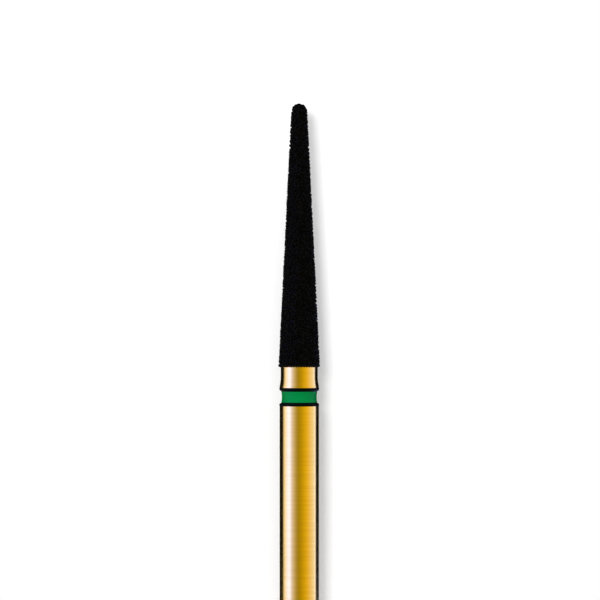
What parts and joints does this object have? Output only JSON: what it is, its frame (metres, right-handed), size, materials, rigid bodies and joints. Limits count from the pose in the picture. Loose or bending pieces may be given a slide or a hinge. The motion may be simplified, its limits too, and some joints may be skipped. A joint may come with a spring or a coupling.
{
  "type": "dental bur",
  "caption": "Tapered round-end diamond bur with a gold-coloured friction-grip shank and a green grit-colour band below its black head.",
  "frame": {"origin": "centre of the shank's flat end face", "axes": "+Z along the axis of rotation, from the shank's end to the cutting tip; the part is round, so X and Y are free"},
  "size_m": [0.0016, 0.0016, 0.0225],
  "materials": {
    "gold_steel": "fine-turned stainless steel with a gold-coloured finish, satin to polished",
    "diamond_grit": "coarse diamond grit in a black nickel bond, rough",
    "green_paint": "glossy green colour-code paint"
  },
  "bodies": {
    "root": {"steel_blank": "gold_steel", "diamond_coat": "diamond_grit", "colour_band": "green_paint"}
  },
  "joints": []
}
